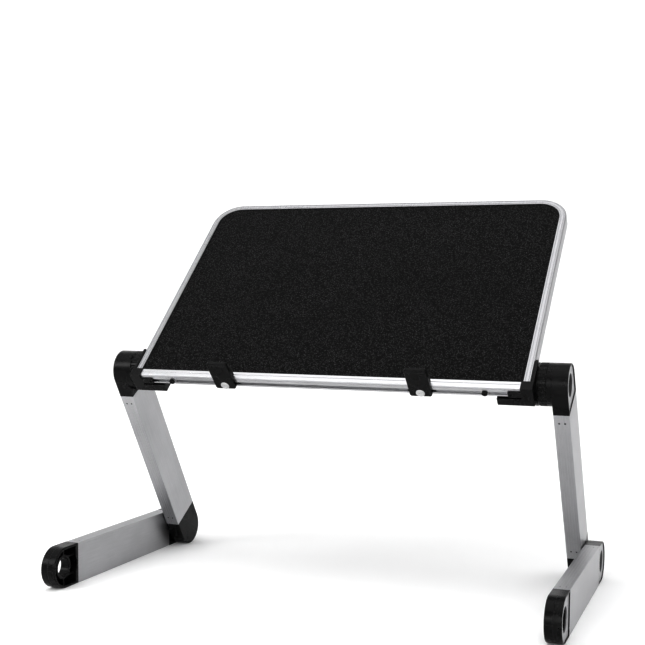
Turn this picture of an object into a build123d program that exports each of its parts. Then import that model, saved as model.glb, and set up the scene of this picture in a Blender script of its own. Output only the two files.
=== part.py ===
"""Folding laptop stand: a framed tray on two legs, each leg an upper and a lower arm.

Frame: +X to the user's right, +Y away from the user, +Z up, millimetres. The origin lies on the
floor, under the middle of the stand. Every sub-part that comes in a pair is built on the right
side and mirrored to the left.
"""

from build123d import *
import os
from math import cos, radians, sin

os.makedirs("parts", exist_ok=True)

# ---- driving dimensions: the stance ----
tray_tilt = 43.0          # tray above the horizontal, degrees
arm_lean = 32.0           # upper arm behind the vertical, degrees
arm_span = 220.0          # pivot to pivot, both arms
arm_width = 40.0          # wide side of the arm tube
arm_depth = 15.0          # narrow side of the arm tube
cut_distance = 20.0       # pivot to the square end of the tube

# ---- the tray ----
tray_width = 404.0
tray_length = 270.0       # front edge to back edge, along the slope
tray_depth = 12.0
rim_width = 7.0
rail_width = 8.0
corner_radius = 30.0
rim_lip = 1.6             # lips of the channel that holds the board
skin_drop = 0.8           # skin below the rim
skin_depth = 0.8
core_bite = 4.0           # board inside the channel
fit_gap = 0.05            # assembled faces of one body
rim_grooves = (1.3, 4.4)  # grooves in the rim's top, outside its inner edge
line_width = 0.6
line_depth = 0.45
rim_chamfer = 1.2

# ---- the front rail's slot ----
slot_rise = -7.8          # slot centre below the tray's top
slot_mouth = 3.6
slot_lip = 1.0
slot_height = 6.6
slot_reach = 3.4          # depth of the slot behind the rail's face
rail_top_line = 4.6       # groove along the rail's top, behind its face
rail_face_line = -2.6     # groove along the rail's face, below the tray's top
rail_chamfer = 0.7

# ---- the hub under each front corner of the tray ----
hub_slope = 26.0          # hub axis behind the front edge, along the slope
hub_rise = -21.6          # hub axis below the tray's top
plate_depth = 2.5         # bracket's side plate
plate_back = 36.0         # side plate's rear end, along the slope
neck_length = 1.8
neck_radius = 16.8
ring_length = 7.1
flute_count = 24
flute_radius = 1.6
hub_gap = 0.4             # ring face to barrel
barrel_length = 4.8
arm_gap = 1.0             # upper arm to lower arm

# ---- the corner bracket ----
cap_inner = 193.5         # corner cap's inner end
cap_proud = 1.0           # cap above the rim
cap_front = 1.5           # cap in front of the rail
cap_back = 8.1            # cap's rear end on the rim, short of the skin
tongue_inner = 181.5
tongue_top = -4.6
tongue_bottom = -10.9
base_inner = 170.5
base_top = -13.3
base_bottom = -21.4
base_back = 32.0
rail_end_gap = 2.5

# ---- the lock inside each joint ----
tooth_count = 24          # 15 degrees a step
tooth_tip = 14.0
tooth_root = 12.6
tooth_root_width = 1.9
tooth_tip_width = 1.3
tooth_gap = 0.15
tooth_foot = 1.0          # tooth inside the gear's disc
gear_length = 9.4
gear_wall = 2.8
gear_bore = 5.6
engagement = 2.6          # teeth inside the outer half
travel = 3.0              # button and gear
spring_room = 10.0
spring_pocket = 10.4
spring_radius = 7.8
wire_radius = 0.45
spring_pitch = 1.9
spring_gap = 0.1
post_radius = 5.0
bolt_radius = 2.5
running_gap = 0.05
thread_gap = 0.02
bolt_head_radius = 4.6
bolt_head_height = 1.8
hex_across = 4.0
hex_depth = 1.2
bolt_depth = 8.0          # thread below the outer half's inner face
face_plate_depth = 1.4
face_plate_sink = 0.8     # face plate below the plastic rim round it
face_plate_border = 1.2   # width of that rim
face_plate_gap = 1.0      # rim between the face plate and the tube's end
window_radius = 11.0      # hole in the face plate
pocket_radius = 12.1      # button pocket
web_outer = 7.4           # outer face of the arm to the web
web_depth = 2.4
button_radius = 10.8
flange_radius = 11.8
button_recess = 1.3
button_crown = 1.1
flange_outer = 2.4        # outer face of the arm to the button's flange
skirt_inner = 8.8
skirt_end = 4.2
leg_count = 3
leg_radius = 9.7
leg_depth = 1.4
leg_width = 4.0
leg_gap = 0.3
dimple_radius = 90.0      # shallow finger hollow on the button
dimple_depth = 0.4
button_round = 0.5
plate_chamfer = 0.3

# ---- the arm tubes and their caps ----
tube_wall = 1.6
tube_corner = 0.6
plug_gap = 0.1
plug_length = 18.0
groove_pitch = 2.6
groove_count = 4
groove_width = 0.5
groove_depth = 0.2
pin_radius = 0.9
pin_length = 4.0
pin_distance = 9.5        # from the tube's end
pin_spacing = 5.4
pin_sink = 0.2
cap_round = 0.8
rim_round = 0.4
pointer_length = 3.0
pointer_width = 5.0
pointer_proud = 0.9
pointer_from_ring = 0.8

# ---- the foot cap ----
foot_bore = 9.5
foot_boss = 11.7
foot_wall = 2.2
foot_core_depth = 9.5
boss_drop = 3.2           # boss and ribs below the cap's inner face
foot_back_wall = 4.0
rib_depth = 1.4
rib_offset = 9.0
parting_width = 0.35      # line round the nose where the cap's halves meet
parting_depth = 0.3

# ---- the two stops on the rail ----
stop_position = 100.0
stop_width = 21.5
stop_top = 22.4
stop_bottom = -12.3
stop_depth = 3.0
stop_corner = 2.4
stop_round = 0.6
slide_gap = 0.2
lip_height = 1.4
lip_proud = 0.5
pad_width = 20.5
pad_depth = 4.0
pad_bottom = 0.6
pad_top = 13.0
screw_head_radius = 4.4
screw_head_height = 1.8
screw_recess = 1.2
screw_shank = 1.4
nut_length = 26.0
end_stop_position = 160.0
end_head_radius = 2.8
end_head_height = 1.7
end_nut_length = 6.4
cross_width = 0.9
cross_length = 3.2
cross_depth = 0.8
bracket_head_radius = 1.9
bracket_head_sink = 0.8
bracket_screw_position = 184.0
base_screw_points = ((178.0, 17.0), (189.0, 25.0))
base_head_radius = 3.0
base_head_height = 2.0
base_screw_top = -6.0

# ---- worked out from the above ----
tilt = radians(tray_tilt)
lean = radians(arm_lean)
arm_radius = arm_width / 2
half_tray = tray_width / 2
half_core = half_tray - rim_width + core_bite
core_back = tray_length - rim_width + core_bite
core_top = -skin_drop - skin_depth - fit_gap
core_bottom = -tray_depth + rim_lip + fit_gap
frame_front = rail_width + 4 * fit_gap
inner_radius = corner_radius - rim_width
core_radius = inner_radius + core_bite
skin_half = half_tray - rim_width - fit_gap
skin_back = tray_length - rim_width - fit_gap
under_skin_bottom = core_bottom - fit_gap - skin_depth
rail_half = half_tray - rail_end_gap

plate_face = half_tray + plate_depth
ring_start = plate_face + neck_length
ring_face = ring_start + ring_length
barrel_face = ring_face + hub_gap
upper_inner = barrel_face + barrel_length
upper_outer = upper_inner + arm_depth
lower_inner = upper_outer + arm_gap
lower_outer = lower_inner + arm_depth
upper_middle = upper_inner + arm_depth / 2
lower_middle = lower_inner + arm_depth / 2

knee_to_edge = arm_span * sin(lean) + hub_slope * cos(tilt) - hub_rise * sin(tilt)
stance_front = arm_span + arm_radius
stance_back = tray_length * cos(tilt) + tray_depth * sin(tilt) - knee_to_edge
knee_y = (stance_front - stance_back) / 2
knee = (knee_y, arm_radius)
foot = (knee_y - arm_span, arm_radius)
hub = (knee_y - arm_span * sin(lean), arm_radius + arm_span * cos(lean))
edge_y = knee_y - knee_to_edge
edge_z = hub[1] - hub_slope * sin(tilt) - hub_rise * cos(tilt)

tray_up = Axis((0, 0, 0), (0, -sin(tilt), cos(tilt)))
tray_back = Axis((0, 0, 0), (0, cos(tilt), sin(tilt)))
forward = (-1.0, 0.0)
backward = (1.0, 0.0)
up_arm = (-sin(lean), cos(lean))
down_arm = (sin(lean), -cos(lean))

hollow_radius = arm_radius - foot_wall
hollow_length = cut_distance - foot_back_wall
hub_gear_face = barrel_face + engagement
knee_gear_face = lower_inner + engagement


# ---- planes ----
def tray_point(slope, rise):
    """Y and Z of a point `slope` behind the front edge and `rise` above the tray's top."""
    y = edge_y + slope * cos(tilt) - rise * sin(tilt)
    z = edge_z + slope * sin(tilt) + rise * cos(tilt)
    return y, z


def tray_plane(rise):
    """Plane parallel to the tray: sketch X is across, sketch Y is up the slope."""
    return Plane(origin=(0, *tray_point(0, rise)), x_dir=(1, 0, 0), z_dir=(0, -sin(tilt), cos(tilt)))


def front_plane(slope):
    """Plane square to the slope, facing the user: sketch Y is the rise."""
    return Plane(origin=(0, *tray_point(slope, 0)), x_dir=(1, 0, 0), z_dir=(0, -cos(tilt), -sin(tilt)))


def side_plane(x):
    """Plane square to X in the tray's directions: sketch X is the slope, sketch Y the rise."""
    return Plane(origin=(x, *tray_point(0, 0)), x_dir=(0, cos(tilt), sin(tilt)), z_dir=(1, 0, 0))


def pivot_plane(x, pivot, direction=backward):
    """Plane square to X with its origin on a pivot: sketch X runs along the arm."""
    return Plane(origin=(x, *pivot), x_dir=(0, *direction), z_dir=(1, 0, 0))


def section_plane(x, pivot, direction, distance):
    """Plane square to an arm, `distance` from the pivot: sketch X is across the narrow side."""
    y = pivot[0] + distance * direction[0]
    z = pivot[1] + distance * direction[1]
    return Plane(origin=(x, y, z), x_dir=(1, 0, 0), z_dir=(0, *direction))


def narrow_plane(x, pivot, direction, side):
    """Plane on a narrow face of an arm, facing out; on side -1 sketch Y runs along the arm."""
    normal = (side * direction[1], -side * direction[0])
    y = pivot[0] + arm_radius * normal[0]
    z = pivot[1] + arm_radius * normal[1]
    return Plane(origin=(x, y, z), x_dir=(1, 0, 0), z_dir=(0, *normal))


# ---- outlines, drawn in the current sketch ----
def tray_outline(half_width, front, back, corner, mode=Mode.ADD):
    """Rectangle whose two back corners are rounded."""
    with BuildLine() as border:
        FilletPolyline(
            (-half_width, front), (-half_width, back), (half_width, back), (half_width, front), radius=corner
        )
        Line((half_width, front), (-half_width, front))
    make_face(border.edges(), mode=mode)


def tooth_outline(gap):
    """Disc with a ring of teeth, all of it `gap` larger than the gear."""
    Circle(tooth_root + gap)
    root = tooth_root_width / 2 + gap
    tip = tooth_tip_width / 2 + gap
    with PolarLocations(0, tooth_count):
        Polygon(
            (tooth_root - tooth_foot, -root),
            (tooth_tip + gap, -tip),
            (tooth_tip + gap, tip),
            (tooth_root - tooth_foot, root),
            align=None,
        )


def cap_outline(border, end_gap):
    """Half-round end of an arm and its straight part, short of the tube by `end_gap`."""
    Circle(arm_radius - border)
    Rectangle(cut_distance - end_gap, arm_width - 2 * border, align=(Align.MIN, Align.CENTER))


def hollow_outline():
    """Inside of the foot cap's wall."""
    Circle(hollow_radius)
    Rectangle(hollow_length, 2 * hollow_radius, align=(Align.MIN, Align.CENTER))


# ---- saving ----
def save(part, label):
    part.label = label
    export_step(part, f"parts/{label}.step")


def mirrored(part):
    with BuildPart() as twin:
        mirror(part, about=Plane.YZ)
    return twin.part


def save_pair(part, label):
    save(part, f"right_{label}")
    save(mirrored(part), f"left_{label}")


def save_group(part, label):
    """One node holding the right-hand pieces and their mirror images as separate solids."""
    twin = mirrored(part)
    with BuildPart() as group:
        add(part)
        add(twin)
    save(group.part, label)


# ---- the tray ----
def rim_groove(inset):
    """Groove in the rim's top that follows its inner edge, `inset` outside it."""
    with BuildSketch(tray_plane(-line_depth)) as profile:
        for reach, front, mode in ((inset + line_width, 0, Mode.ADD), (inset, -line_width, Mode.SUBTRACT)):
            grow = reach - rim_width
            tray_outline(half_tray + grow, front, tray_length + grow, corner_radius + grow, mode)
    extrude(profile.sketch, amount=line_depth, mode=Mode.SUBTRACT)


with BuildPart() as perimeter_frame:
    with BuildSketch(tray_plane(-tray_depth)):
        tray_outline(half_tray, frame_front, tray_length, corner_radius)
    extrude(amount=tray_depth)
    top_edges = perimeter_frame.faces().sort_by(tray_up)[-1].edges().sort_by(tray_back)
    chamfer(top_edges[1:], rim_chamfer)
    with BuildSketch(tray_plane(-tray_depth)):
        tray_outline(half_tray - rim_width, 0, tray_length - rim_width, inner_radius)
    extrude(amount=tray_depth, mode=Mode.SUBTRACT)
    with BuildSketch(tray_plane(-tray_depth + rim_lip)):
        tray_outline(half_core + fit_gap, 0, core_back + fit_gap, core_radius)
    extrude(amount=tray_depth - rim_lip - skin_drop - skin_depth, mode=Mode.SUBTRACT)
    for inset in rim_grooves:
        rim_groove(inset)
save(perimeter_frame.part, "perimeter_frame")


def tray_layer(half_width, back, corner, bottom, top):
    """A board or sheet of the tray, from the rail to the back rim."""
    with BuildPart() as layer:
        with BuildSketch(tray_plane(bottom)):
            tray_outline(half_width, frame_front, back, corner)
        extrude(amount=top - bottom)
    return layer.part


def drilled(part, bottom):
    """The board with pilot holes for the bracket screws, from `bottom` to the screws' tips."""
    with BuildPart() as holed:
        add(part)
        with BuildSketch(tray_plane(bottom)):
            for side in (-1, 1):
                with Locations(*[(side * x, slope) for x, slope in base_screw_points]):
                    Circle(screw_shank + thread_gap)
        extrude(amount=base_screw_top - bottom, mode=Mode.SUBTRACT)
    return holed.part


board = tray_layer(half_core, core_back, core_radius, core_bottom, core_top)
save(drilled(board, core_bottom), "panel_core")
save(tray_layer(skin_half, skin_back, inner_radius, core_top + fit_gap, -skin_drop), "top_skin")
under_skin = tray_layer(skin_half, skin_back, inner_radius, under_skin_bottom, core_bottom - fit_gap)
save(drilled(under_skin, under_skin_bottom), "bottom_skin")

with BuildPart() as front_rail:
    with BuildSketch(side_plane(-rail_half)):
        Rectangle(rail_width, tray_depth, align=(Align.MIN, Align.MAX))
        with Locations((0, slot_rise)):
            Rectangle(slot_lip, slot_mouth, align=(Align.MIN, Align.CENTER), mode=Mode.SUBTRACT)
        with Locations((slot_lip, slot_rise)):
            Rectangle(slot_reach - slot_lip, slot_height, align=(Align.MIN, Align.CENTER), mode=Mode.SUBTRACT)
        with Locations((rail_top_line, 0)):
            Rectangle(line_width, 2 * line_depth, mode=Mode.SUBTRACT)
        with Locations((0, rail_face_line)):
            Rectangle(2 * line_depth, line_width, mode=Mode.SUBTRACT)
    extrude(amount=2 * rail_half)
    long_edges = front_rail.edges().filter_by(Axis.X).group_by(tray_back)[0].sort_by(tray_up)
    chamfer([long_edges[0], long_edges[-1]], rail_chamfer)
save(front_rail.part, "front_rail")


# ---- the corner bracket, with the fixed half of the hub ----
def inner_lock_half(pivot, face, gear_face):
    """Toothed pocket and threaded post, cut into the current piece below `face`."""
    floor = gear_face - gear_wall - spring_room
    with BuildSketch(pivot_plane(floor, pivot)) as profile:
        tooth_outline(tooth_gap)
    extrude(profile.sketch, amount=face - floor, mode=Mode.SUBTRACT)
    with BuildSketch(pivot_plane(floor, pivot)) as profile:
        Circle(post_radius)
    extrude(profile.sketch, amount=face - floor)
    thread_start = gear_face - engagement - bolt_depth - spring_gap
    with BuildSketch(pivot_plane(thread_start, pivot)) as profile:
        Circle(bolt_radius + thread_gap)
    extrude(profile.sketch, amount=face - thread_start, mode=Mode.SUBTRACT)


with BuildPart() as bracket:
    with BuildSketch(side_plane(half_tray + fit_gap)):
        with Locations((-cap_front, 0)):
            Rectangle(cap_front + plate_back, -base_bottom, align=(Align.MIN, Align.MAX))
        with Locations((hub_slope, hub_rise)):
            Circle(arm_radius)
    extrude(amount=plate_depth - fit_gap)
    with BuildSketch(front_plane(-fit_gap)):
        with Locations((cap_inner, cap_proud)):
            Rectangle(plate_face - cap_inner, cap_proud - base_bottom, align=(Align.MIN, Align.MAX))
        with Locations((tongue_inner, tongue_top)):
            Rectangle(cap_inner - tongue_inner, tongue_top - tongue_bottom, align=(Align.MIN, Align.MAX))
    extrude(amount=cap_front - fit_gap)
    with BuildSketch(tray_plane(base_bottom)):
        with Locations((base_inner, -cap_front)):
            Rectangle(plate_face - base_inner, cap_front + base_back, align=(Align.MIN, Align.MIN))
    extrude(amount=base_top - base_bottom)
    with BuildSketch(tray_plane(base_top)):
        with Locations((base_inner, frame_front)):
            Rectangle(skin_half - base_inner, base_back - frame_front, align=(Align.MIN, Align.MIN))
    extrude(amount=under_skin_bottom - fit_gap - base_top)
    with BuildSketch(tray_plane(fit_gap)):
        with Locations((cap_inner, -cap_front)):
            Rectangle(plate_face - cap_inner, cap_front + cap_back, align=(Align.MIN, Align.MIN))
    extrude(amount=cap_proud - fit_gap)
    with BuildSketch(tray_plane(base_top)):
        with Locations((rail_half + fit_gap, -cap_front)):
            Rectangle(
                plate_face - rail_half - fit_gap,
                cap_front + frame_front - fit_gap,
                align=(Align.MIN, Align.MIN),
            )
    extrude(amount=cap_proud - base_top)
    with BuildSketch(pivot_plane(plate_face, hub)):
        Circle(neck_radius)
    extrude(amount=neck_length)
    with BuildSketch(pivot_plane(ring_start, hub)):
        Circle(arm_radius)
        with PolarLocations(arm_radius + flute_radius / 2, flute_count):
            Circle(flute_radius, mode=Mode.SUBTRACT)
    extrude(amount=ring_length)
    inner_lock_half(hub, ring_face, hub_gear_face)
    with BuildSketch(front_plane(-cap_front)):
        with Locations((bracket_screw_position, slot_rise)):
            Circle(bracket_head_radius + fit_gap)
    extrude(amount=-bracket_head_sink, mode=Mode.SUBTRACT)
    with BuildSketch(front_plane(-cap_front)):
        with Locations((bracket_screw_position, slot_rise)):
            Circle(screw_shank + thread_gap)
    extrude(amount=-cap_front, mode=Mode.SUBTRACT)
    with BuildSketch(tray_plane(base_bottom)):
        with Locations(*base_screw_points):
            Circle(base_head_radius + fit_gap)
    extrude(amount=base_head_height, mode=Mode.SUBTRACT)
    with BuildSketch(tray_plane(base_bottom)):
        with Locations(*base_screw_points):
            Circle(screw_shank + thread_gap)
    extrude(amount=-base_bottom, mode=Mode.SUBTRACT)
save_pair(bracket.part, "corner_bracket")


# ---- screws of the tray ----
def cross_recess(plane, points):
    """Cross cut into the screw heads whose tops lie on the plane."""
    with BuildSketch(plane) as profile:
        with Locations(*points):
            Rectangle(cross_width, cross_length)
            Rectangle(cross_length, cross_width)
    extrude(profile.sketch, amount=-cross_depth, mode=Mode.SUBTRACT)


with BuildPart() as bracket_screws:
    tongue_point = (bracket_screw_position, slot_rise)
    head_plane = front_plane(bracket_head_sink - cap_front - fit_gap)
    with BuildSketch(head_plane):
        with Locations(tongue_point):
            Circle(bracket_head_radius)
    extrude(amount=bracket_head_sink)
    with BuildSketch(head_plane):
        with Locations(tongue_point):
            Circle(screw_shank)
    extrude(amount=-slot_lip - bracket_head_sink)
    cross_recess(front_plane(-cap_front - fit_gap), [tongue_point])
    head_top = tray_plane(base_bottom + fit_gap)
    with BuildSketch(head_top):
        with Locations(*base_screw_points):
            Circle(base_head_radius)
    extrude(amount=base_head_height - 2 * fit_gap)
    with BuildSketch(head_top):
        with Locations(*base_screw_points):
            Circle(screw_shank)
    extrude(amount=base_screw_top - base_bottom - 2 * fit_gap)
    cross_recess(tray_plane(base_bottom + fit_gap + cross_depth), base_screw_points)
save_group(bracket_screws.part, "bracket_screws")


def slot_screw(position, head_radius, head_height, head_base):
    """Cap screw that enters the rail's slot; its head stands on a plane square to the slope."""
    spot = (position, slot_rise)
    with BuildPart() as screw:
        with BuildSketch(front_plane(head_base)):
            with Locations(spot):
                Circle(head_radius)
        extrude(amount=head_height)
        fillet(screw.edges().sort_by(tray_back)[0], head_height / 3)
        with BuildSketch(front_plane(head_base)):
            with Locations(spot):
                Circle(screw_shank)
        extrude(amount=head_base - slot_reach + slide_gap)
        cross_recess(front_plane(head_base - head_height), [spot])
    return screw.part


def slot_nut(position, length):
    """Nut that runs in the rail's slot, threaded for the slot screw."""
    with BuildPart() as nut:
        with BuildSketch(front_plane(slot_lip + slide_gap)):
            with Locations((position, slot_rise)):
                Rectangle(length, slot_height - 3 * slide_gap)
        extrude(amount=slot_lip + 2 * slide_gap - slot_reach)
        with BuildSketch(front_plane(slot_lip + slide_gap)):
            with Locations((position, slot_rise)):
                Rectangle(length, slot_mouth - 2 * slide_gap)
        extrude(amount=slot_lip)
        with BuildSketch(front_plane(0)):
            with Locations((position, slot_rise)):
                Circle(screw_shank + thread_gap)
        extrude(amount=-slot_reach, mode=Mode.SUBTRACT)
    return nut.part


save_group(slot_screw(end_stop_position, end_head_radius, end_head_height, -fit_gap), "end_stop_screws")
save_group(slot_nut(end_stop_position, end_nut_length), "end_stop_nuts")


# ---- the stops that hold the front edge of a laptop ----
with BuildPart() as stop_plate:
    middle_rise = (stop_top + stop_bottom) / 2
    with BuildSketch(front_plane(-slide_gap)):
        with Locations((stop_position, middle_rise)):
            RectangleRounded(stop_width, stop_top - stop_bottom, stop_corner)
    extrude(amount=stop_depth)
    fillet(stop_plate.faces().sort_by(tray_back)[0].edges(), stop_round)
    with BuildSketch(front_plane(-slide_gap - stop_depth)):
        with Locations((stop_position, stop_top - stop_corner)):
            RectangleRounded(stop_width - 2 * stop_corner, lip_height, lip_height / 3)
    extrude(amount=lip_proud)
    with BuildSketch(front_plane(-slide_gap - stop_depth)):
        with Locations((stop_position, slot_rise)):
            Circle(screw_head_radius + fit_gap)
    extrude(amount=-screw_recess, mode=Mode.SUBTRACT)
    with BuildSketch(front_plane(-slide_gap - stop_depth)):
        with Locations((stop_position, slot_rise)):
            Circle(screw_shank + fit_gap)
    extrude(amount=-stop_depth, mode=Mode.SUBTRACT)
save_pair(stop_plate.part, "stop_plate")

with BuildPart() as stop_pad:
    with BuildSketch(front_plane(pad_depth)):
        with Locations((stop_position, (pad_top + pad_bottom) / 2)):
            RectangleRounded(pad_width, pad_top - pad_bottom, stop_corner / 2)
    extrude(amount=pad_depth + slide_gap)
    fillet(stop_pad.faces().sort_by(tray_back)[-1].edges(), stop_round)
save_pair(stop_pad.part, "stop_pad")
stop_screw_base = screw_recess - slide_gap - stop_depth - fit_gap
save_pair(slot_screw(stop_position, screw_head_radius, screw_head_height, stop_screw_base), "stop_screw")
save_pair(slot_nut(stop_position, nut_length), "stop_slot_nut")


# ---- arm tubes ----
def pin_cylinders(x, pivot, direction, radius, sink, depth, mode):
    """Short cylinders through both narrow faces, two near each end of a tube."""
    distances = (cut_distance + pin_distance, arm_span - cut_distance - pin_distance)
    offsets = (-pin_spacing / 2, pin_spacing / 2)
    for side in (-1, 1):
        with BuildSketch(narrow_plane(x, pivot, direction, side).offset(-sink)) as profile:
            with Locations(*[(offset, -side * distance) for offset in offsets for distance in distances]):
                Circle(radius)
        extrude(profile.sketch, amount=-depth, mode=mode)


def arm_tube(x, pivot, direction):
    with BuildPart() as tube:
        with BuildSketch(section_plane(x, pivot, direction, cut_distance)):
            RectangleRounded(arm_depth, arm_width, tube_corner)
            with Locations((0, -arm_radius), (0, arm_radius)):
                with GridLocations(groove_pitch, 1, groove_count, 1):
                    Rectangle(groove_width, 2 * groove_depth, mode=Mode.SUBTRACT)
            Rectangle(arm_depth - 2 * tube_wall, arm_width - 2 * tube_wall, mode=Mode.SUBTRACT)
        extrude(amount=arm_span - 2 * cut_distance)
        pin_cylinders(x, pivot, direction, pin_radius + thread_gap, 0, pin_length + pin_sink, Mode.SUBTRACT)
    return tube.part


def arm_pins(x, pivot, direction):
    with BuildPart() as pins:
        pin_cylinders(x, pivot, direction, pin_radius, pin_sink, pin_length, Mode.ADD)
    return pins.part


# ---- arm caps ----
def cap_block(pivot, direction, inner, outer, rounding):
    """Half-round cap with the plug that enters the tube, drilled for the pins.

    `rounding` gives the radius along the outline of a side: {0: inner side, -1: outer side}.
    """
    middle = (inner + outer) / 2
    with BuildPart() as block:
        with BuildSketch(pivot_plane(inner, pivot, direction)):
            cap_outline(0, 0)
        extrude(amount=outer - inner)
        along_arm = Axis((0, *pivot), (0, *direction))
        for side, radius in rounding.items():
            side_edges = block.faces().sort_by(Axis.X)[side].edges()
            fillet(side_edges.sort_by(along_arm)[:-1], radius)
        with BuildSketch(section_plane(middle, pivot, direction, cut_distance)):
            margin = 2 * (tube_wall + plug_gap)
            Rectangle(arm_depth - margin, arm_width - margin)
        extrude(amount=plug_length)
        hole_depth = pin_length + pin_sink
        pin_cylinders(middle, pivot, direction, pin_radius + thread_gap, 0, hole_depth, Mode.SUBTRACT)
    return block.part


def plate_recess(pivot, direction, arm_outer):
    """Recess for the face plate, cut into the current piece."""
    depth = face_plate_depth + face_plate_sink
    with BuildSketch(pivot_plane(arm_outer - depth, pivot, direction)) as profile:
        cap_outline(face_plate_border, face_plate_gap)
    extrude(profile.sketch, amount=depth, mode=Mode.SUBTRACT)


def outer_lock_half(pivot, inner_face, arm_outer):
    """Toothed pocket, web with the bolt's boss, and button pocket, cut into the current piece."""
    web_start = arm_outer - web_outer - web_depth
    with BuildSketch(pivot_plane(inner_face, pivot)) as profile:
        tooth_outline(tooth_gap)
    extrude(profile.sketch, amount=web_start - inner_face, mode=Mode.SUBTRACT)
    with BuildSketch(pivot_plane(inner_face, pivot)) as profile:
        Circle(post_radius)
    extrude(profile.sketch, amount=web_start - inner_face)
    with BuildSketch(pivot_plane(arm_outer - web_outer, pivot)) as profile:
        Circle(pocket_radius)
    extrude(profile.sketch, amount=web_outer, mode=Mode.SUBTRACT)
    with BuildSketch(pivot_plane(web_start, pivot)) as profile:
        with PolarLocations(leg_radius, leg_count):
            Rectangle(leg_depth + 2 * leg_gap, leg_width + 2 * leg_gap)
    extrude(profile.sketch, amount=web_depth, mode=Mode.SUBTRACT)
    with BuildSketch(pivot_plane(inner_face, pivot)) as profile:
        Circle(bolt_radius + running_gap)
    extrude(profile.sketch, amount=arm_outer - inner_face, mode=Mode.SUBTRACT)


def face_plate(pivot, direction, arm_outer):
    with BuildPart() as plate:
        with BuildSketch(pivot_plane(arm_outer - face_plate_sink - face_plate_depth, pivot, direction)):
            cap_outline(face_plate_border + fit_gap, face_plate_gap + fit_gap)
            Circle(window_radius, mode=Mode.SUBTRACT)
        extrude(amount=face_plate_depth)
        outer_face = plate.faces().sort_by(Axis.X)[-1]
        window = outer_face.inner_wires()[0].edges()
        along_arm = Axis((0, *pivot), (0, *direction))
        chamfer(outer_face.outer_wire().edges().sort_by(along_arm)[:-1] + window, plate_chamfer)
    return plate.part


# ---- pieces inside each joint ----
def lock_gear(pivot, gear_face):
    start = gear_face - gear_length
    with BuildPart() as gear:
        with BuildSketch(pivot_plane(start, pivot)):
            tooth_outline(0)
            Circle(gear_bore, mode=Mode.SUBTRACT)
        extrude(amount=gear_length)
        with BuildSketch(pivot_plane(start, pivot)):
            Circle(spring_pocket)
        extrude(amount=gear_length - gear_wall, mode=Mode.SUBTRACT)
    return gear.part


def lock_spring(pivot, gear_face):
    start = gear_face - gear_wall - spring_room + wire_radius + spring_gap
    height = spring_room - 2 * (wire_radius + spring_gap)
    with BuildPart() as spring:
        with BuildLine() as path:
            Helix(spring_pitch, height, spring_radius, center=(start, *pivot), direction=(1, 0, 0))
        with BuildSketch(Plane(origin=path.line @ 0, z_dir=path.line % 0)):
            Circle(wire_radius)
        sweep(path=path.line, is_frenet=True)
    return spring.part


def thrust_washer(pivot, inner_face, outer_face):
    with BuildPart() as washer:
        with BuildSketch(pivot_plane(inner_face + fit_gap, pivot)):
            Circle(post_radius)
            Circle(bolt_radius + 2 * running_gap, mode=Mode.SUBTRACT)
        extrude(amount=outer_face - inner_face - 2 * fit_gap)
    return washer.part


def pivot_bolt(pivot, gear_face, arm_outer):
    end = gear_face - engagement - bolt_depth
    seat = arm_outer - web_outer + running_gap
    with BuildPart() as bolt:
        with BuildSketch(pivot_plane(end, pivot)):
            Circle(bolt_radius)
        extrude(amount=seat - end)
        with BuildSketch(pivot_plane(seat, pivot)):
            Circle(bolt_head_radius)
        extrude(amount=bolt_head_height)
        chamfer(bolt.edges().sort_by(Axis.X)[-1], plate_chamfer)
        with BuildSketch(pivot_plane(seat + bolt_head_height, pivot)):
            RegularPolygon(hex_across / 2, 6, major_radius=False)
        extrude(amount=-hex_depth, mode=Mode.SUBTRACT)
    return bolt.part


def push_button(pivot, gear_face, arm_outer):
    skirt = arm_outer - skirt_end
    crown = arm_outer - button_recess
    with BuildPart() as button:
        with BuildSketch(pivot_plane(skirt, pivot)):
            Circle(button_radius)
        extrude(amount=crown - skirt)
        fillet(button.edges().sort_by(Axis.X)[-1], button_round)
        with BuildSketch(pivot_plane(skirt, pivot)):
            Circle(flange_radius)
        extrude(amount=skirt_end - flange_outer)
        with BuildSketch(pivot_plane(skirt, pivot)):
            Circle(skirt_inner)
        extrude(amount=crown - button_crown - skirt, mode=Mode.SUBTRACT)
        leg_tip = gear_face + running_gap
        with BuildSketch(pivot_plane(leg_tip, pivot)):
            with PolarLocations(leg_radius, leg_count):
                Rectangle(leg_depth, leg_width)
        extrude(amount=skirt - leg_tip + leg_depth)
        with Locations((crown - dimple_depth + dimple_radius, *pivot)):
            Sphere(dimple_radius, mode=Mode.SUBTRACT)
    return button.part


# ---- upper arms ----
with BuildPart() as hub_cap:
    add(cap_block(hub, down_arm, upper_inner, upper_outer, {-1: rim_round}))
    plate_recess(hub, down_arm, upper_outer)
    with BuildSketch(pivot_plane(barrel_face, hub)):
        Circle(arm_radius)
    extrude(amount=barrel_length)
    pointer_start = tray_point(hub_slope, hub_rise + arm_radius - pointer_proud)
    pointer_x = barrel_face + pointer_from_ring + pointer_length / 2
    with BuildSketch(Plane(origin=(pointer_x, *pointer_start), x_dir=(1, 0, 0), z_dir=tray_up.direction)):
        RectangleRounded(pointer_length, pointer_width, pointer_length / 3)
    extrude(amount=2 * pointer_proud)
    outer_lock_half(hub, barrel_face, upper_outer)
save_pair(hub_cap.part, "hub_cap")

with BuildPart() as upper_knee_cap:
    add(cap_block(knee, up_arm, upper_inner, upper_outer, {0: cap_round}))
    inner_lock_half(knee, upper_outer, knee_gear_face)
save_pair(upper_knee_cap.part, "upper_knee_cap")

save_pair(arm_tube(upper_middle, hub, down_arm), "upper_tube")
save_pair(arm_pins(upper_middle, hub, down_arm), "upper_arm_pins")
save_pair(face_plate(hub, down_arm, upper_outer), "hub_face_plate")

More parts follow.
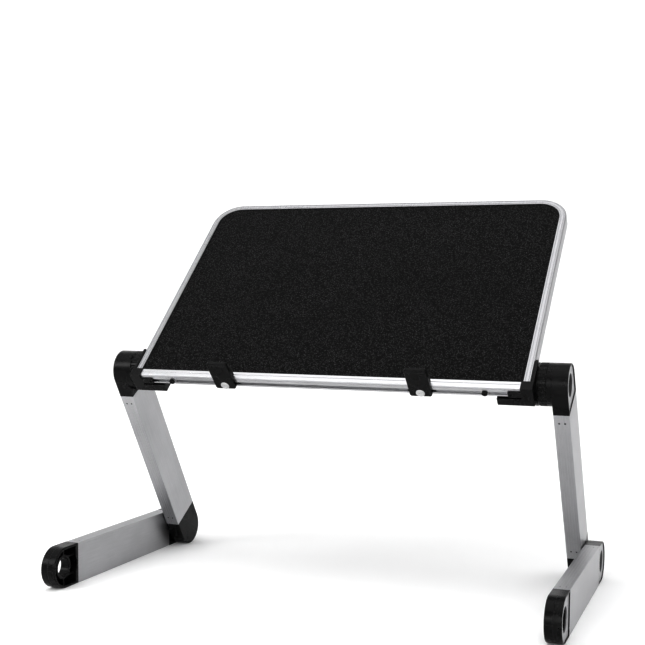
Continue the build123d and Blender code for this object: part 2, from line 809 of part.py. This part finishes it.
# ---- lower arms ----
with BuildPart() as lower_knee_cap:
    add(cap_block(knee, forward, lower_inner, lower_outer, {-1: rim_round}))
    plate_recess(knee, forward, lower_outer)
    outer_lock_half(knee, lower_inner, lower_outer)
save_pair(lower_knee_cap.part, "lower_knee_cap")

with BuildPart() as foot_cap:
    add(cap_block(foot, backward, lower_inner, lower_outer, {0: cap_round, -1: rim_round}))
    plate_recess(foot, backward, lower_outer)
    with BuildSketch(pivot_plane(lower_inner, foot, backward)):
        hollow_outline()
    extrude(amount=boss_drop, mode=Mode.SUBTRACT)
    with BuildSketch(pivot_plane(lower_inner + boss_drop, foot, backward)):
        hollow_outline()
        Circle(foot_boss, mode=Mode.SUBTRACT)
        with Locations((0, rib_offset), (0, -rib_offset)):
            Rectangle(hollow_length, rib_depth, align=(Align.MIN, Align.CENTER), mode=Mode.SUBTRACT)
        Rectangle(rib_depth, arm_width, mode=Mode.SUBTRACT)
    extrude(amount=foot_core_depth - boss_drop, mode=Mode.SUBTRACT)
    with BuildSketch(pivot_plane(lower_inner, foot)):
        Circle(foot_bore)
    extrude(amount=arm_depth, mode=Mode.SUBTRACT)
    with BuildSketch(pivot_plane(lower_middle, foot, backward)):
        Circle(arm_radius)
        Circle(arm_radius - parting_depth, mode=Mode.SUBTRACT)
        Rectangle(arm_radius, arm_width, align=(Align.MIN, Align.CENTER), mode=Mode.SUBTRACT)
    extrude(amount=parting_width, mode=Mode.SUBTRACT)
    with BuildSketch(pivot_plane(lower_inner, foot, backward)):
        with Locations((-arm_radius, 0)):
            Rectangle(2 * parting_depth, parting_width)
    extrude(amount=arm_depth / 2, mode=Mode.SUBTRACT)
save_pair(foot_cap.part, "foot_cap")

save_pair(arm_tube(lower_middle, knee, forward), "lower_tube")
save_pair(arm_pins(lower_middle, knee, forward), "lower_arm_pins")
save_pair(face_plate(knee, forward, lower_outer), "knee_face_plate")
save_pair(face_plate(foot, backward, lower_outer), "foot_face_plate")

# ---- the lock of each joint ----
for name, pivot, gear_face, arm_outer in (
    ("hub", hub, hub_gear_face, upper_outer),
    ("knee", knee, knee_gear_face, lower_outer),
):
    save_pair(lock_gear(pivot, gear_face), f"{name}_lock_gear")
    save_pair(lock_spring(pivot, gear_face), f"{name}_spring")
    save_pair(push_button(pivot, gear_face, arm_outer), f"{name}_button")

save_group(pivot_bolt(hub, hub_gear_face, upper_outer), "hub_pivot_bolts")
save_group(thrust_washer(hub, ring_face, barrel_face), "hub_washers")
save_pair(pivot_bolt(knee, knee_gear_face, lower_outer), "knee_pivot_bolt")
save_pair(thrust_washer(knee, upper_outer, lower_inner), "knee_washer")
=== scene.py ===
"""Looks of the folding laptop stand: camera, light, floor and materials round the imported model."""

from math import cos, radians, sin

import bpy
from mathutils import Matrix, Vector


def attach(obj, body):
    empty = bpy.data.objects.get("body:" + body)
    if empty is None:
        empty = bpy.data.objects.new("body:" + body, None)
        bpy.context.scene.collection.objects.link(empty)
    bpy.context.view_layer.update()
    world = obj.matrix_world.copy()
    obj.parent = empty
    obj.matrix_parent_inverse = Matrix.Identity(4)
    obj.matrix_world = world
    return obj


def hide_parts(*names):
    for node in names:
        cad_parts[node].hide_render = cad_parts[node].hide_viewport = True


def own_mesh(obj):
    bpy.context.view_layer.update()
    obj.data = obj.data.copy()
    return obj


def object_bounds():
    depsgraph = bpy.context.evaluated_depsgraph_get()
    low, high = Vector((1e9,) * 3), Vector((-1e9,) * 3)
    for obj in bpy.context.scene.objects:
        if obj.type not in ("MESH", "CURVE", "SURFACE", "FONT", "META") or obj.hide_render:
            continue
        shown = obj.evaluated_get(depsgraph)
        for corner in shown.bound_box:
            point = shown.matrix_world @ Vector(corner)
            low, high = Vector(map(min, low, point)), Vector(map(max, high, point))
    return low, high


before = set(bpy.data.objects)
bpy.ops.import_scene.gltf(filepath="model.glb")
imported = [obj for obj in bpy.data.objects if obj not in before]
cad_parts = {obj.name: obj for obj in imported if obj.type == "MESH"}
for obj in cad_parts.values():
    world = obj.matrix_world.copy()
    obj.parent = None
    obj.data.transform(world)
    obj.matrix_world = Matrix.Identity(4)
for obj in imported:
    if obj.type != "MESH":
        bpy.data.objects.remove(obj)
cad_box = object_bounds()

# ---- driving values, in metres, degrees and watts ----
TRAY_TILT = 43.0
ARM_LEAN = 32.0

CAMERA_SIDE = 0.3947          # right of the stand's middle
CAMERA_FRONT = 0.8919         # in front of the feet's front ends
CAMERA_HEIGHT = 0.2854
CAMERA_YAW = 19.63            # towards the left
CAMERA_PITCH = -3.84
CAMERA_ROLL = 0.51
CAMERA_LENS = 62.34           # in millimetres, as is the sensor
CAMERA_SENSOR = 36.0
CAMERA_SHIFT = (-0.0626, 0.0756)

LOOK_EXPOSURE = 0.35
LOOK_GAMMA = 0.70             # under 1 deepens the blacks
WORLD_STRENGTH = 0.74
LIGHTS = (                    # name, place, width and height, power
    ("key_light", (-2.2, -2.8, 2.2), (1.0, 1.6), 32),
    ("fill_light", (0.9, -3.3, 0.9), (3.4, 1.3), 42),
    ("top_light", (-0.4, -0.8, 4.0), (4.4, 4.0), 54),
)

FLOOR_RADIUS = 3.8
SWEEP_RADIUS = 1.6
WALL_HEIGHT = 4.6
FLOOR_SIDES = 72
SWEEP_STEPS = 14
FLOOR_SHADES = (0.92, 0.94)
FLOOR_ROUGHNESS = 0.7

# ---- texture sizes, in cells per metre ----
FLOOR_GRAIN = 9
METAL_LINES = 2600
METAL_GRIT = 5200
METAL_CLOUDS = 22
PLASTIC_SPARK = 2400
PLASTIC_MOTTLE = 85
PLASTIC_HANDLING = 16
VINYL_PEBBLES = 640
VINYL_WANDER = 420
VINYL_FINE = 3000
# the next two size the flecks and patches of painted highlight on the covering's crowns
VINYL_HIGHLIGHT_FLECKS = 620
VINYL_HIGHLIGHT_PATCHES = 14
RUBBER_PORES = 1500
RUBBER_DUST = 60
STEEL_SCRATCHES = 3200
STEEL_STAINS = 180
BOARD_FIBRES = 900

# ---- reliefs and edge roundings, in metres ----
METAL_RELIEF = 0.000006
METAL_EDGE = 0.0004
PLASTIC_EDGE = 0.0007
VINYL_RELIEF = 0.0003
VINYL_PUSH = 0.0009
RUBBER_RELIEF = 0.00005
RUBBER_EDGE = 0.0005
STEEL_RELIEF = 0.00001
STEEL_EDGE = 0.0003
BOARD_RELIEF = 0.00006

# ---- shares ----
DRAWN_STRETCH = 0.012         # scale along a drawn line against across it
TURNED_STRETCH = 0.08
LINE_SHARE = 0.55             # of the drawn lines in the metal's shade, the rest clouds
EDGE_TURN = (0.80, 0.995)     # how far a rounded normal still agrees with the face at an edge
MOST_NOISE = (0.3, 0.7)       # where most values of a noise lie
MID_NOISE = (0.35, 0.65)
BEVEL_SAMPLES = 6
ACROSS, UP_SLOPE, UP_ARM = 0, 1, 2   # axes along which the aluminium was drawn


# ---- camera ----
def aimed(yaw, pitch, roll):
    """Rotation that looks along +Y turned by yaw to the left, then up by pitch and rolled."""
    turn = Matrix.Rotation(radians(yaw), 3, "Z")
    lift = Matrix.Rotation(radians(90 + pitch), 3, "X")
    tip = Matrix.Rotation(radians(roll), 3, "Z")
    return (turn @ lift @ tip).to_4x4()


def make_camera():
    lens = bpy.data.cameras.new("camera")
    lens.lens = CAMERA_LENS
    lens.sensor_width = CAMERA_SENSOR
    lens.shift_x, lens.shift_y = CAMERA_SHIFT
    lens.dof.use_dof = False
    camera = bpy.data.objects.new("camera", lens)
    front = cad_box[0].y
    place = Matrix.Translation((CAMERA_SIDE, front - CAMERA_FRONT, CAMERA_HEIGHT))
    camera.matrix_world = place @ aimed(CAMERA_YAW, CAMERA_PITCH, CAMERA_ROLL)
    bpy.context.scene.collection.objects.link(camera)
    bpy.context.scene.camera = camera


# ---- light ----
def make_light(name, place, size, power):
    """Rectangular light that faces the middle of the stand."""
    lamp = bpy.data.lights.new(name, "AREA")
    lamp.shape = "RECTANGLE"
    lamp.size, lamp.size_y = size
    lamp.energy = power
    light = bpy.data.objects.new(name, lamp)
    light.location = place
    middle = (cad_box[0] + cad_box[1]) / 2
    light.rotation_mode = "QUATERNION"
    light.rotation_quaternion = (middle - Vector(place)).to_track_quat("-Z", "Y")
    bpy.context.scene.collection.objects.link(light)


def make_world():
    """White sky, and a contrasty look like that of a studio picture cut out on white."""
    world = bpy.data.worlds.new("studio")
    world.use_nodes = True
    sky = world.node_tree.nodes["Background"]
    sky.inputs["Color"].default_value = (1.0, 1.0, 1.0, 1.0)
    sky.inputs["Strength"].default_value = WORLD_STRENGTH
    bpy.context.scene.world = world
    look = bpy.context.scene.view_settings
    look.view_transform = "Standard"
    look.exposure = LOOK_EXPOSURE
    look.gamma = LOOK_GAMMA


# ---- floor ----
def floor_profile():
    """Radius and height from the floor's rim, up the sweep, to the top of the wall."""
    profile = [(FLOOR_RADIUS, 0.0)]
    for i in range(1, SWEEP_STEPS + 1):
        angle = radians(90 * i / SWEEP_STEPS)
        profile.append((FLOOR_RADIUS + SWEEP_RADIUS * sin(angle), SWEEP_RADIUS * (1 - cos(angle))))
    profile.append((FLOOR_RADIUS + SWEEP_RADIUS, WALL_HEIGHT))
    return profile


def make_floor():
    """Pale round floor that sweeps up into a wall all round."""
    profile = floor_profile()
    count = len(profile)
    points = [(0.0, 0.0, 0.0)]
    faces = []
    for k in range(FLOOR_SIDES):
        turn = radians(360 * k / FLOOR_SIDES)
        points += [(r * cos(turn), r * sin(turn), z) for r, z in profile]
        here = 1 + k * count
        there = 1 + (k + 1) % FLOOR_SIDES * count
        faces.append((0, here, there))
        faces += [(here + i, here + i + 1, there + i + 1, there + i) for i in range(count - 1)]
    mesh = bpy.data.meshes.new("floor")
    mesh.from_pydata(points, [], faces)
    for polygon in mesh.polygons:
        polygon.use_smooth = True
    floor = bpy.data.objects.new("floor", mesh)
    bpy.context.scene.collection.objects.link(floor)
    floor.data.materials.append(studio_floor("studio_floor"))


# ---- shader building ----
def shader_of(name, color, metallic, roughness, specular=0.5):
    """New material; returns its node tree and its Principled shader."""
    material = bpy.data.materials.new(name)
    material.use_nodes = True
    tree = material.node_tree
    shader = tree.nodes["Principled BSDF"]
    shader.inputs["Base Color"].default_value = (*color, 1.0)
    shader.inputs["Metallic"].default_value = metallic
    shader.inputs["Roughness"].default_value = roughness
    shader.inputs["Specular IOR Level"].default_value = specular
    return tree, shader


def mapped(tree, scale=(1, 1, 1), tilt=0.0):
    """Object coordinates turned about X by tilt degrees and scaled."""
    turn = tree.nodes.new("ShaderNodeMapping")
    turn.inputs["Rotation"].default_value = (radians(-tilt), 0, 0)
    stretch = tree.nodes.new("ShaderNodeMapping")
    stretch.inputs["Scale"].default_value = scale
    place = tree.nodes.new("ShaderNodeTexCoord")
    tree.links.new(place.outputs["Object"], turn.inputs["Vector"])
    tree.links.new(turn.outputs["Vector"], stretch.inputs["Vector"])
    return stretch.outputs["Vector"]


def noise(tree, vector, scale, detail, rough=0.55):
    texture = tree.nodes.new("ShaderNodeTexNoise")
    texture.inputs["Scale"].default_value = scale
    texture.inputs["Detail"].default_value = detail
    texture.inputs["Roughness"].default_value = rough
    tree.links.new(vector, texture.inputs["Vector"])
    return texture.outputs["Fac"]


def cells(tree, vector, scale, feature, smoothness=None):
    """Distance within round cells, or to their creases, as the feature says."""
    texture = tree.nodes.new("ShaderNodeTexVoronoi")
    texture.feature = feature
    texture.inputs["Scale"].default_value = scale
    if smoothness is not None:
        texture.inputs["Smoothness"].default_value = smoothness
    tree.links.new(vector, texture.inputs["Vector"])
    return texture.outputs["Distance"]


def span(tree, value, low, high, start=0.0, end=1.0):
    """Value between start and end, spread from low to high."""
    spread = tree.nodes.new("ShaderNodeMapRange")
    spread.inputs["From Min"].default_value = start
    spread.inputs["From Max"].default_value = end
    spread.inputs["To Min"].default_value = low
    spread.inputs["To Max"].default_value = high
    tree.links.new(value, spread.inputs["Value"])
    return spread.outputs["Result"]


def arithmetic(tree, operation, first, second):
    node = tree.nodes.new("ShaderNodeMath")
    node.operation = operation
    for socket, value in zip(node.inputs, (first, second)):
        if isinstance(value, (int, float)):
            socket.default_value = value
        else:
            tree.links.new(value, socket)
    return node.outputs["Value"]


def total(tree, first, second):
    return arithmetic(tree, "ADD", first, second)


def product(tree, first, second):
    return arithmetic(tree, "MULTIPLY", first, second)


def tint(tree, shader, amount, dark, light):
    """Base colour between dark and light by a 0 to 1 amount."""
    mix = tree.nodes.new("ShaderNodeMix")
    mix.data_type = "RGBA"
    mix.inputs["A"].default_value = (*dark, 1.0)
    mix.inputs["B"].default_value = (*light, 1.0)
    tree.links.new(amount, mix.inputs["Factor"])
    tree.links.new(mix.outputs["Result"], shader.inputs["Base Color"])


def rounded(tree, radius):
    """Normal rounded over the edges by a radius."""
    bevel = tree.nodes.new("ShaderNodeBevel")
    bevel.samples = BEVEL_SAMPLES
    bevel.inputs["Radius"].default_value = radius
    return bevel.outputs["Normal"]


def edge_nearness(tree, normal):
    """0 on a flat face, rising to 1 where the rounded normal turns away at an edge."""
    geometry = tree.nodes.new("ShaderNodeNewGeometry")
    dot = tree.nodes.new("ShaderNodeVectorMath")
    dot.operation = "DOT_PRODUCT"
    tree.links.new(normal, dot.inputs[0])
    tree.links.new(geometry.outputs["Normal"], dot.inputs[1])
    return span(tree, dot.outputs["Value"], 1.0, 0.0, *EDGE_TURN)


def bumped(tree, shader, height, depth, normal=None, strength=1.0):
    bump = tree.nodes.new("ShaderNodeBump")
    bump.inputs["Strength"].default_value = strength
    bump.inputs["Distance"].default_value = depth
    tree.links.new(height, bump.inputs["Height"])
    if normal is not None:
        tree.links.new(normal, bump.inputs["Normal"])
    tree.links.new(bump.outputs["Normal"], shader.inputs["Normal"])


# ---- materials ----
def grey(level, blue=None):
    """Grey colour, cooler where its blue is given."""
    return (level, level, level if blue is None else blue)


def studio_floor(name):
    tree, shader = shader_of(name, grey(FLOOR_SHADES[0]), 0.0, FLOOR_ROUGHNESS, 0.2)
    grain = noise(tree, mapped(tree), FLOOR_GRAIN, 3)
    tree.links.new(span(tree, grain, *FLOOR_SHADES), shader.inputs["Base Color"])
    return bpy.data.materials[name]


def drawn_metal(name, dark, light, roughness, along, tilt):
    """Satin anodised aluminium with faint lines along one axis of the turned frame."""
    tree, shader = shader_of(name, light, 1.0, roughness)
    stretch = [1.0, 1.0, 1.0]
    stretch[along] = DRAWN_STRETCH
    lines = noise(tree, mapped(tree, stretch, tilt), METAL_LINES, 3, 0.6)
    clouds = noise(tree, mapped(tree, tilt=tilt), METAL_CLOUDS, 4)
    grit = noise(tree, mapped(tree, tilt=tilt), METAL_GRIT, 2)
    normal = rounded(tree, METAL_EDGE)
    streaks = total(tree, product(tree, lines, LINE_SHARE), product(tree, clouds, 1 - LINE_SHARE))
    # the colour follows the drawn streaks and is paler along the edges
    streaks_and_pale_edges = arithmetic(tree, "MAXIMUM", streaks, product(tree, edge_nearness(tree, normal), 0.9))
    tint(tree, shader, span(tree, streaks_and_pale_edges, 0, 1, 0.3, 0.75), dark, light)
    line_gloss = span(tree, lines, roughness - 0.07, roughness + 0.07, *MOST_NOISE)
    cloud_gloss = span(tree, clouds, -0.03, 0.03, *MOST_NOISE)
    tree.links.new(total(tree, line_gloss, cloud_gloss), shader.inputs["Roughness"])
    height = total(tree, lines, product(tree, grit, 0.5))
    bumped(tree, shader, height, METAL_RELIEF, normal, 0.6)
    return bpy.data.materials[name]


def moulded_plastic(name, dark, light, roughness, relief, specular=0.2):
    """Black moulded plastic with a fine spark texture, mottled gloss, and edges painted paler as a
    highlight, partly wear from handling.
    """
    tree, shader = shader_of(name, dark, 0.0, roughness, specular)
    place = mapped(tree)
    spark = noise(tree, place, PLASTIC_SPARK, 2, 0.7)
    mottle = noise(tree, place, PLASTIC_MOTTLE, 4)
    handling = noise(tree, place, PLASTIC_HANDLING, 5, 0.6)
    normal = rounded(tree, PLASTIC_EDGE)
    # painted highlight along the edges, partly wear, stronger where the handling noise is high
    edge_highlight_and_wear = product(tree, edge_nearness(tree, normal), span(tree, handling, 0.3, 0.9, *MID_NOISE))
    shade = total(tree, span(tree, mottle, 0.0, 0.1, *MOST_NOISE), edge_highlight_and_wear)
    tint(tree, shader, shade, dark, light)
    mottle_gloss = span(tree, mottle, roughness - 0.06, roughness + 0.05, *MOST_NOISE)
    handled_gloss = span(tree, handling, -0.05, 0.05, *MOST_NOISE)
    tree.links.new(total(tree, mottle_gloss, handled_gloss), shader.inputs["Roughness"])
    bumped(tree, shader, spark, relief, normal)
    return bpy.data.materials[name]


def grained_vinyl(name, dark, light):
    """Pebble-grained black covering: rounded cells between fine creases, with a painted highlight on
    the cells' crowns, in flecks and patches, and painted shade in the creases.
    """
    tree, shader = shader_of(name, grey(0.012), 0.0, 0.5, 0.13)
    place = mapped(tree, tilt=TRAY_TILT)
    push = tree.nodes.new("ShaderNodeVectorMath")
    push.operation = "MULTIPLY_ADD"
    tree.links.new(noise(tree, place, VINYL_WANDER, 2), push.inputs[0])
    push.inputs[1].default_value = (VINYL_PUSH, VINYL_PUSH, VINYL_PUSH)
    tree.links.new(place, push.inputs[2])
    pebbles = cells(tree, push.outputs["Vector"], VINYL_PEBBLES, "SMOOTH_F1", 0.35)
    creases = cells(tree, push.outputs["Vector"], VINYL_PEBBLES, "DISTANCE_TO_EDGE")
    crown = span(tree, pebbles, 1.0, 0.0, 0.05, 0.62)
    groove = span(tree, creases, 0.0, 1.0, 0.0, 0.16)
    fine = noise(tree, place, VINYL_FINE, 3)
    height = total(tree, product(tree, crown, groove), product(tree, fine, 0.12))
    # painted highlight on the crowns and painted shade in the creases: the colour follows the height,
    # broken into flecks and patches
    highlight_flecks = span(tree, noise(tree, place, VINYL_HIGHLIGHT_FLECKS, 2, 0.7), 0.0, 1.0, 0.36, 0.66)
    highlight_patches = span(tree, noise(tree, place, VINYL_HIGHLIGHT_PATCHES, 4), 0.7, 1.0, *MOST_NOISE)
    painted_crown_highlight = product(tree, span(tree, height, 0.0, 1.0, 0.25, 1.0), highlight_patches)
    tint(tree, shader, product(tree, painted_crown_highlight, highlight_flecks), dark, light)
    tree.links.new(span(tree, height, 0.62, 0.36), shader.inputs["Roughness"])
    bumped(tree, shader, height, VINYL_RELIEF)
    return bpy.data.materials[name]


def soft_rubber(name, dark, light):
    tree, shader = shader_of(name, dark, 0.0, 0.75)
    place = mapped(tree)
    pores = noise(tree, place, RUBBER_PORES, 3, 0.7)
    tint(tree, shader, noise(tree, place, RUBBER_DUST, 4), dark, light)
    tree.links.new(span(tree, pores, 0.68, 0.86), shader.inputs["Roughness"])
    bumped(tree, shader, pores, RUBBER_RELIEF, rounded(tree, RUBBER_EDGE))
    return bpy.data.materials[name]


def turned_steel(name, dark, light, roughness):
    """Plated steel of screws, bolts and springs, with fine scratches."""
    tree, shader = shader_of(name, light, 1.0, roughness)
    scratches = noise(tree, mapped(tree, (1, 1, TURNED_STRETCH)), STEEL_SCRATCHES, 3)
    tint(tree, shader, noise(tree, mapped(tree), STEEL_STAINS, 4), dark, light)
    tree.links.new(span(tree, scratches, roughness - 0.08, roughness + 0.1), shader.inputs["Roughness"])
    bumped(tree, shader, scratches, STEEL_RELIEF, rounded(tree, STEEL_EDGE))
    return bpy.data.materials[name]


def fibreboard(name, dark, light):
    tree, shader = shader_of(name, dark, 0.0, 0.8)
    fibres = noise(tree, mapped(tree, tilt=TRAY_TILT), BOARD_FIBRES, 5, 0.7)
    tint(tree, shader, fibres, dark, light)
    tree.links.new(span(tree, fibres, 0.7, 0.9), shader.inputs["Roughness"])
    bumped(tree, shader, fibres, BOARD_RELIEF)
    return bpy.data.materials[name]


def make_metals():
    """One aluminium for each finish and each direction in which it was drawn, and two steels; the
    rail's and the rim's copies are one aluminium, painted lighter and darker for how the light falls on
    them.
    """
    # painted light: the rail's aluminium is painted lighter, as it faces the shaded floor
    rail = (grey(0.45, 0.46), grey(0.58, 0.59), 0.32)
    # painted shade: the rim's aluminium is painted darker so its lit top face does not wash out
    rim = (grey(0.36, 0.37), grey(0.44, 0.45), 0.30)
    arm = (grey(0.36, 0.37), grey(0.52, 0.53), 0.38)
    plate = (grey(0.30, 0.31), grey(0.48, 0.49), 0.34)
    return {
        "rail": drawn_metal("rail_aluminium_finish", *rail, ACROSS, TRAY_TILT),
        "rim": drawn_metal("rim_aluminium_finish", *rim, UP_SLOPE, TRAY_TILT),
        "upper_tube": drawn_metal("upper_tube_finish", *arm, UP_ARM, ARM_LEAN),
        "lower_tube": drawn_metal("lower_tube_finish", *arm, UP_SLOPE, 0.0),
        "plate": drawn_metal("face_plate_finish", *plate, UP_SLOPE, 0.0),
        "steel": turned_steel("plated_steel_finish", grey(0.50), grey(0.74), 0.28),
        "black_steel": turned_steel("black_screw_finish", grey(0.012), grey(0.04), 0.4),
    }


def make_plastics():
    """Finishes of the plastics, the covering, the pads and the board."""
    # the plastics' light colours serve mostly as the painted highlight along their edges
    plastic = (grey(0.0008, 0.0009), grey(0.042, 0.043), 0.28, 0.00003)
    button = (grey(0.0012, 0.0013), grey(0.02, 0.0205), 0.45, 0.00001, 0.04)
    nylon = (grey(0.07, 0.075), grey(0.13, 0.14), 0.5, 0.00002)
    return {
        "plastic": moulded_plastic("black_plastic_finish", *plastic),
        "button": moulded_plastic("button_finish", *button),
        "nylon": moulded_plastic("nylon_finish", *nylon),
        # the covering's light colour is that of the painted highlight on its crowns
        "skin": grained_vinyl("grained_vinyl_finish", grey(0.0008, 0.0009), grey(0.125, 0.127)),
        "rubber": soft_rubber("rubber_finish", grey(0.010), grey(0.024)),
        "board": fibreboard("fibreboard_finish", (0.20, 0.14, 0.09), (0.40, 0.31, 0.21)),
    }


FINISH_OF_NODE = (            # words in a node's name, and its finish; the first that fits counts
    ("perimeter_frame", "rim"), ("front_rail", "rail"), ("panel_core", "board"), ("skin", "skin"),
    ("upper_tube", "upper_tube"), ("lower_tube", "lower_tube"), ("face_plate", "plate"),
    ("button", "button"), ("lock_gear", "nylon"), ("stop_pad", "rubber"),
    ("bracket_screws", "black_steel"), ("end_stop_screws", "black_steel"),
    ("stop_screw", "steel"), ("arm_pins", "black_steel"),
    ("slot_nut", "plastic"), ("bracket", "plastic"), ("cap", "plastic"), ("stop_plate", "plastic"),
)


def finish_of(node):
    for words, finish in FINISH_OF_NODE:
        if words in node:
            return finish
    return "steel"


def dress_nodes():
    finishes = make_metals() | make_plastics()
    for name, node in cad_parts.items():
        node.data.materials.clear()
        node.data.materials.append(finishes[finish_of(name)])


# ---- springs ----
def make_spring(lock, body):
    """Stands for the spring behind a lock gear, as a copy of its mesh carried by the body."""
    node, joint = f"{lock}_spring", f"{lock}_button_press"
    spring = bpy.data.objects.new(f"{lock}_coil_spring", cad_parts[node].data.copy())
    bpy.context.scene.collection.objects.link(spring)
    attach(spring, body)
    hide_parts(node)
    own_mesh(spring)


def make_springs():
    for side in ("left", "right"):
        make_spring(f"{side}_hub", "tray")
        make_spring(f"{side}_knee", f"{side}_upper_arm")


make_camera()
for light in LIGHTS:
    make_light(*light)
make_world()
make_floor()
dress_nodes()
make_springs()

bpy.context.view_layer.update()
